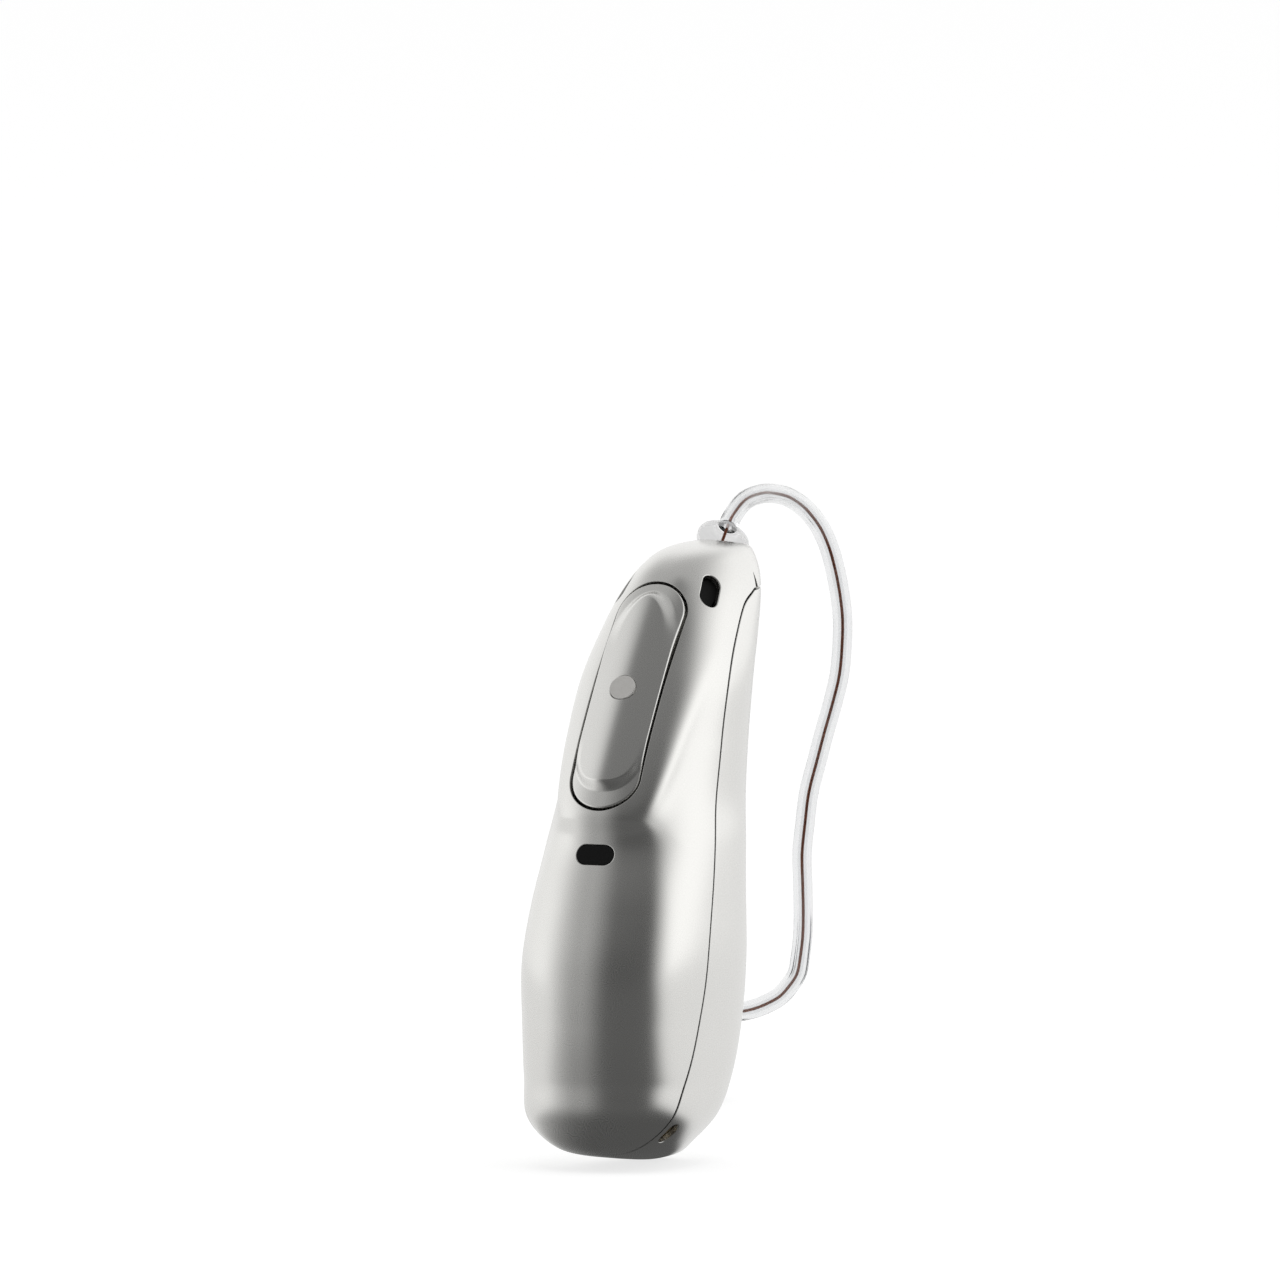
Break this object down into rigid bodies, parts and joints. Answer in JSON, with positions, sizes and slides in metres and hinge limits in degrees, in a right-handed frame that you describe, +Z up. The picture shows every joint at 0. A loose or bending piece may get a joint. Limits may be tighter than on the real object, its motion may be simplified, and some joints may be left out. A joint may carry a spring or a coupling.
{
  "type": "behind-the-ear hearing aid",
  "caption": "Slim satin behind-the-ear hearing aid with a rocking button, charging ports and a thin clear wire to a speaker and soft dome for the ear canal.",
  "frame": {"origin": "lowest point of the housing, where it stands in its charger", "axes": "+Z up along the housing, -Y towards the spine that faces backwards on the ear, +Y towards the ear and the wire, +X away from the head"},
  "size_m": [0.0209, 0.04, 0.0316],
  "materials": {
    "silver_paint": "satin metallic",
    "dark_rubber": "matt",
    "dark_plastic": "matt",
    "cell_steel": "satin",
    "gold_contact": "bright",
    "board_green": "satin",
    "chip_black": "matt",
    "chip_grey": "matt",
    "copper": "bright",
    "mic_metal": "satin",
    "screen_black": "fine mesh",
    "pin_steel": "bright",
    "light_diffuser": "satin",
    "led_white": "gloss",
    "clear_plastic": "clear gloss",
    "wire_clear": "clear gloss",
    "speaker_plastic": "satin",
    "filter_white": "matt",
    "dome_silicone": "soft matt"
  },
  "bodies": {
    "housing": {"back_shell": "silver_paint", "front_shell": "silver_paint", "shell_seal": "dark_rubber", "chassis": "dark_plastic", "battery_cell": "cell_steel", "battery_tabs": "gold_contact", "circuit_board": "board_green", "sound_processor": "chip_black", "board_chips": "chip_grey", "radio_antenna": "copper", "front_microphone": "mic_metal", "rear_microphone": "mic_metal", "front_mic_boot": "dark_rubber", "rear_mic_boot": "dark_rubber", "front_mic_screen_left": "screen_black", "front_mic_screen_right": "screen_black", "rear_mic_screen": "screen_black", "rocker_pins": "pin_steel", "switch_board": "board_green", "switch_bases": "chip_grey", "upper_switch_dome": "pin_steel", "lower_switch_dome": "pin_steel", "status_led": "led_white", "charge_contact_left": "gold_contact", "charge_contact_right": "gold_contact", "charge_leads": "gold_contact", "receiver_socket": "dark_plastic", "socket_contacts": "gold_contact", "wire_plug": "clear_plastic", "plug_contacts": "gold_contact", "plug_lock_pin": "pin_steel", "wire_tube": "wire_clear", "wire_conductors": "copper", "speaker_boot": "dark_rubber", "speaker_case": "speaker_plastic", "speaker_capsule": "mic_metal", "speaker_spout": "speaker_plastic", "wax_filter": "filter_white"},
    "rocker": {"rocker_button": "silver_paint", "light_pipe": "light_diffuser"},
    "dome": {"ear_dome": "dome_silicone"}
  },
  "joints": [
    {"name": "rocker_tilt", "type": "hinge", "parent": "housing", "child": "rocker", "pos_m": [0, -0.00141, 0.02179], "axis": [1, 0, 0], "range_deg": [-3, 3], "stiffness_Nm_per_rad": 0.02},
    {"name": "ear_dome_pull", "type": "slide", "parent": "housing", "child": "dome", "axis": [-0.8046, 0.5846, -0.1045], "range_m": [0, 0.006]}
  ]
}
